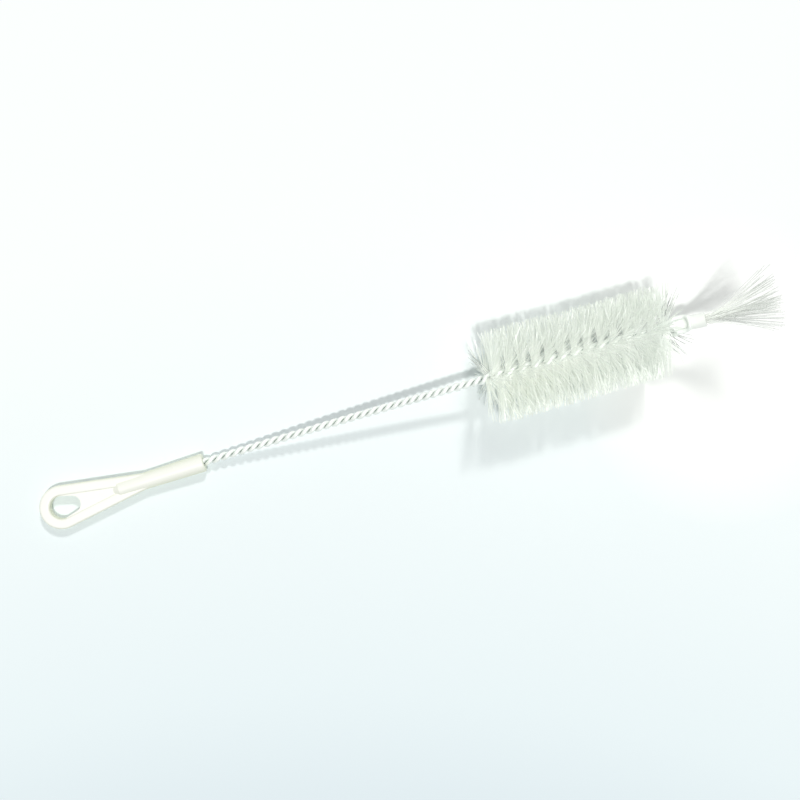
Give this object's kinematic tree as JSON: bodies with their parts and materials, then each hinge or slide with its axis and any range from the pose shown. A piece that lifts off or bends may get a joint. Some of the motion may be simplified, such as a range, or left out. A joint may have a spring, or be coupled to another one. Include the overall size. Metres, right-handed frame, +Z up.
{
  "type": "bottle brush",
  "caption": "Bottle brush: flat moulded handle with a hanging eye, bent twisted-wire stem, spiral nylon bristle head and a fanned tuft held in a sleeve at the tip.",
  "frame": {"origin": "on the resting plane, under the middle of the brush's length, width and below its lowest point", "axes": "+X along the bristle head's axis, from the handle to the tuft at the tip; +Z up from the bench that the brush lies on; +Y to its left"},
  "size_m": [0.384, 0.0469, 0.0592],
  "materials": {
    "ivory_plastic": "moulded, satin",
    "galvanised_wire": "galvanised",
    "nylon": "translucent filament",
    "white_plastic": "moulded"
  },
  "bodies": {
    "root": {"handle": "ivory_plastic", "wire": "galvanised_wire", "bristles_1": "nylon", "bristles_2": "nylon", "bristles_3": "nylon", "bristles_4": "nylon", "bristles_5": "nylon", "bristles_6": "nylon", "bristles_7": "nylon", "bristles_8": "nylon", "bristles_9": "nylon", "bristles_10": "nylon", "bristles_11": "nylon", "bristles_12": "nylon", "bristles_13": "nylon", "bristles_14": "nylon", "sleeve": "white_plastic", "tuft": "nylon"}
  },
  "joints": []
}
